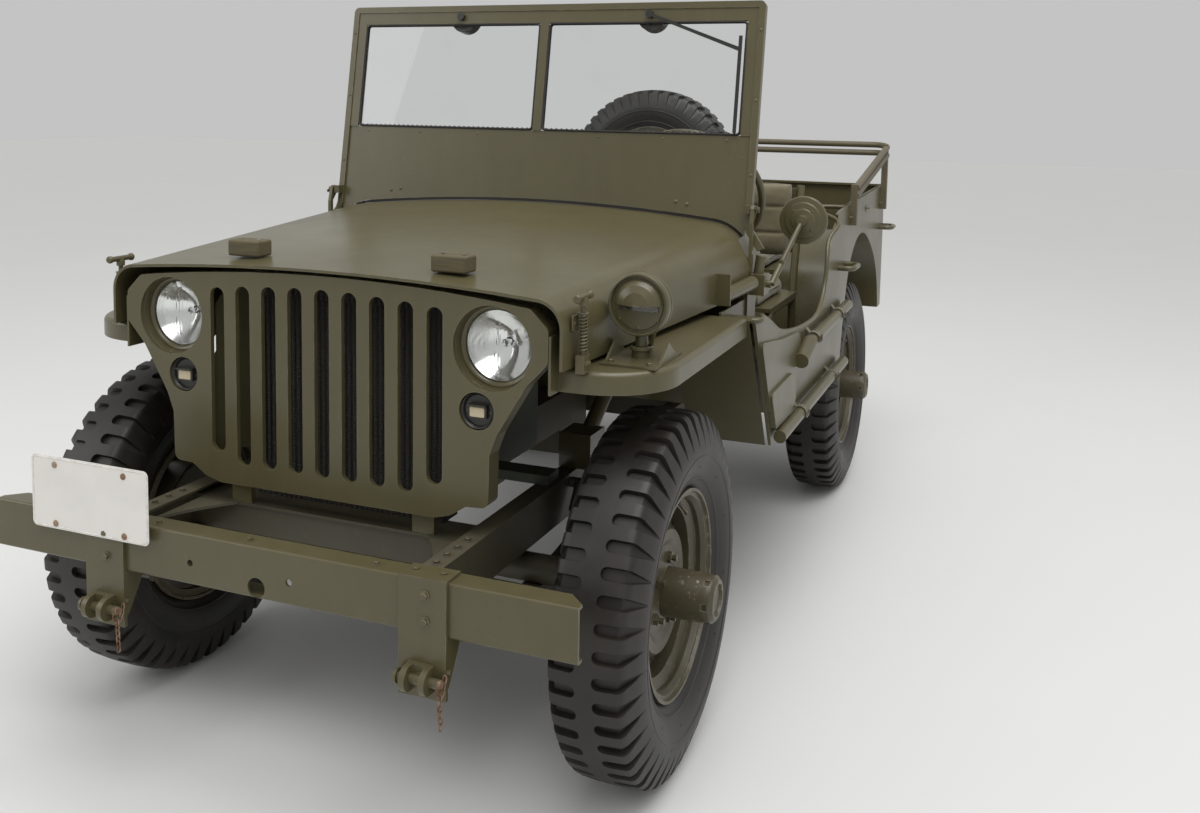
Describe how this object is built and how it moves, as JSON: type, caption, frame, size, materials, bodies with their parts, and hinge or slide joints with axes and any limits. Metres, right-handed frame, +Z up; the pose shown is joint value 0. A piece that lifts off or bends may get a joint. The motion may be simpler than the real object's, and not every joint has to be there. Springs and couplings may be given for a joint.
{
  "type": "light four-wheel-drive military car",
  "caption": "Open light four-wheel-drive military car with flat fenders, an upright slotted grille, a folding windshield and steered front wheels.",
  "frame": {"origin": "centre of the car's footprint, on the ground", "axes": "+Z up, -Y towards the nose, +X towards the driver's side"},
  "size_m": [1.602, 3.4049, 1.6964],
  "materials": {
    "body_paint": "satin olive drab paint",
    "chassis_paint": "flat dark olive paint",
    "wheel_paint": "satin dark olive paint",
    "engine_paint": "flat grey green paint",
    "black_paint": "satin black paint",
    "worn_steel": "dull worn steel",
    "top_bow_paint": "worn olive paint",
    "tyre_rubber": "matt black rubber",
    "clear_glass": "clear",
    "lamp_glass": "ribbed glass",
    "seat_canvas": "olive canvas",
    "block_wood": "painted wood"
  },
  "bodies": {
    "body": {"bumper_brackets": "body_paint", "control_levers": "black_paint", "cowl": "body_paint", "drive_lamp": "body_paint", "driveline": "chassis_paint", "engine_block": "engine_paint", "exhaust": "worn_steel", "fender_left": "body_paint", "fender_right": "body_paint", "floor": "body_paint", "frame": "chassis_paint", "front_axle": "chassis_paint", "front_bumper": "body_paint", "grab_handles": "body_paint", "grille": "body_paint", "headlamps": "lamp_glass", "leaf_springs": "chassis_paint", "marker_lamps": "lamp_glass", "mirror": "black_paint", "pioneer_tools": "black_paint", "radiator": "black_paint", "rear_axle": "chassis_paint", "rear_panel": "body_paint", "rear_tow_gear": "chassis_paint", "seat_cushions": "seat_canvas", "seat_frames": "body_paint", "shock_absorbers": "chassis_paint", "side_left": "body_paint", "side_right": "body_paint", "spare_carrier": "body_paint", "spare_tyre": "tyre_rubber", "spare_wheel": "wheel_paint", "steering_column": "body_paint", "top_bows": "top_bow_paint"},
    "knuckle_left": {"knuckle_left": "chassis_paint"},
    "knuckle_right": {"knuckle_right": "chassis_paint"},
    "tie_rod": {"tie_rod": "chassis_paint"},
    "steering_wheel": {"steering_wheel": "body_paint"},
    "hood": {"hood": "body_paint", "hood_blocks": "block_wood"},
    "windshield": {"windshield_frame": "body_paint", "windshield_glass": "clear_glass", "windshield_wipers": "black_paint"},
    "wheel_front_left": {"wheel_front_left": "wheel_paint", "tyre_front_left": "tyre_rubber"},
    "wheel_front_right": {"wheel_front_right": "wheel_paint", "tyre_front_right": "tyre_rubber"},
    "wheel_rear_left": {"wheel_rear_left": "wheel_paint", "tyre_rear_left": "tyre_rubber"},
    "wheel_rear_right": {"wheel_rear_right": "wheel_paint", "tyre_rear_right": "tyre_rubber"}
  },
  "joints": [
    {"name": "steer_left", "type": "hinge", "parent": "body", "child": "knuckle_left", "pos_m": [0.55, -1.1395, 0.385], "axis": [0, 0, 1], "range_deg": [-26, 26]},
    {"name": "steer_right", "type": "hinge", "parent": "body", "child": "knuckle_right", "pos_m": [-0.55, -1.1395, 0.385], "axis": [0, 0, 1], "range_deg": [-26, 26]},
    {"name": "tie_rod_swing", "type": "hinge", "parent": "knuckle_left", "child": "tie_rod", "pos_m": [0.51, -1.3015, 0.4063], "axis": [0, 0, 1], "range_deg": [-26, 26]},
    {"name": "steering_wheel_turn", "type": "hinge", "parent": "body", "child": "steering_wheel", "pos_m": [0.365, -0.0545, 1.158], "axis": [0, 0.8387, 0.5446], "range_deg": [-338.5, 338.5]},
    {"name": "hood_hinge", "type": "hinge", "parent": "body", "child": "hood", "pos_m": [0, -0.485, 1.135], "axis": [-1, 0, 0], "range_deg": [0, 92]},
    {"name": "windshield_fold", "type": "hinge", "parent": "body", "child": "windshield", "pos_m": [0, -0.4515, 1.145], "axis": [-1, 0, 0], "range_deg": [-99, 0]},
    {"name": "roll_front_left", "type": "hinge", "parent": "knuckle_left", "child": "wheel_front_left", "pos_m": [0.6225, -1.1395, 0.385], "axis": [1, 0, 0], "continuous": true},
    {"name": "roll_front_right", "type": "hinge", "parent": "knuckle_right", "child": "wheel_front_right", "pos_m": [-0.6225, -1.1395, 0.385], "axis": [1, 0, 0], "continuous": true},
    {"name": "roll_rear_left", "type": "hinge", "parent": "body", "child": "wheel_rear_left", "pos_m": [0.6225, 0.8925, 0.385], "axis": [1, 0, 0], "continuous": true},
    {"name": "roll_rear_right", "type": "hinge", "parent": "body", "child": "wheel_rear_right", "pos_m": [-0.6225, 0.8925, 0.385], "axis": [1, 0, 0], "continuous": true}
  ],
  "couplings": [
    {"joint": "steer_right", "follows": "steer_left", "ratio": 1},
    {"joint": "tie_rod_swing", "follows": "steer_left", "ratio": -1},
    {"joint": "steering_wheel_turn", "follows": "steer_left", "ratio": 13}
  ]
}
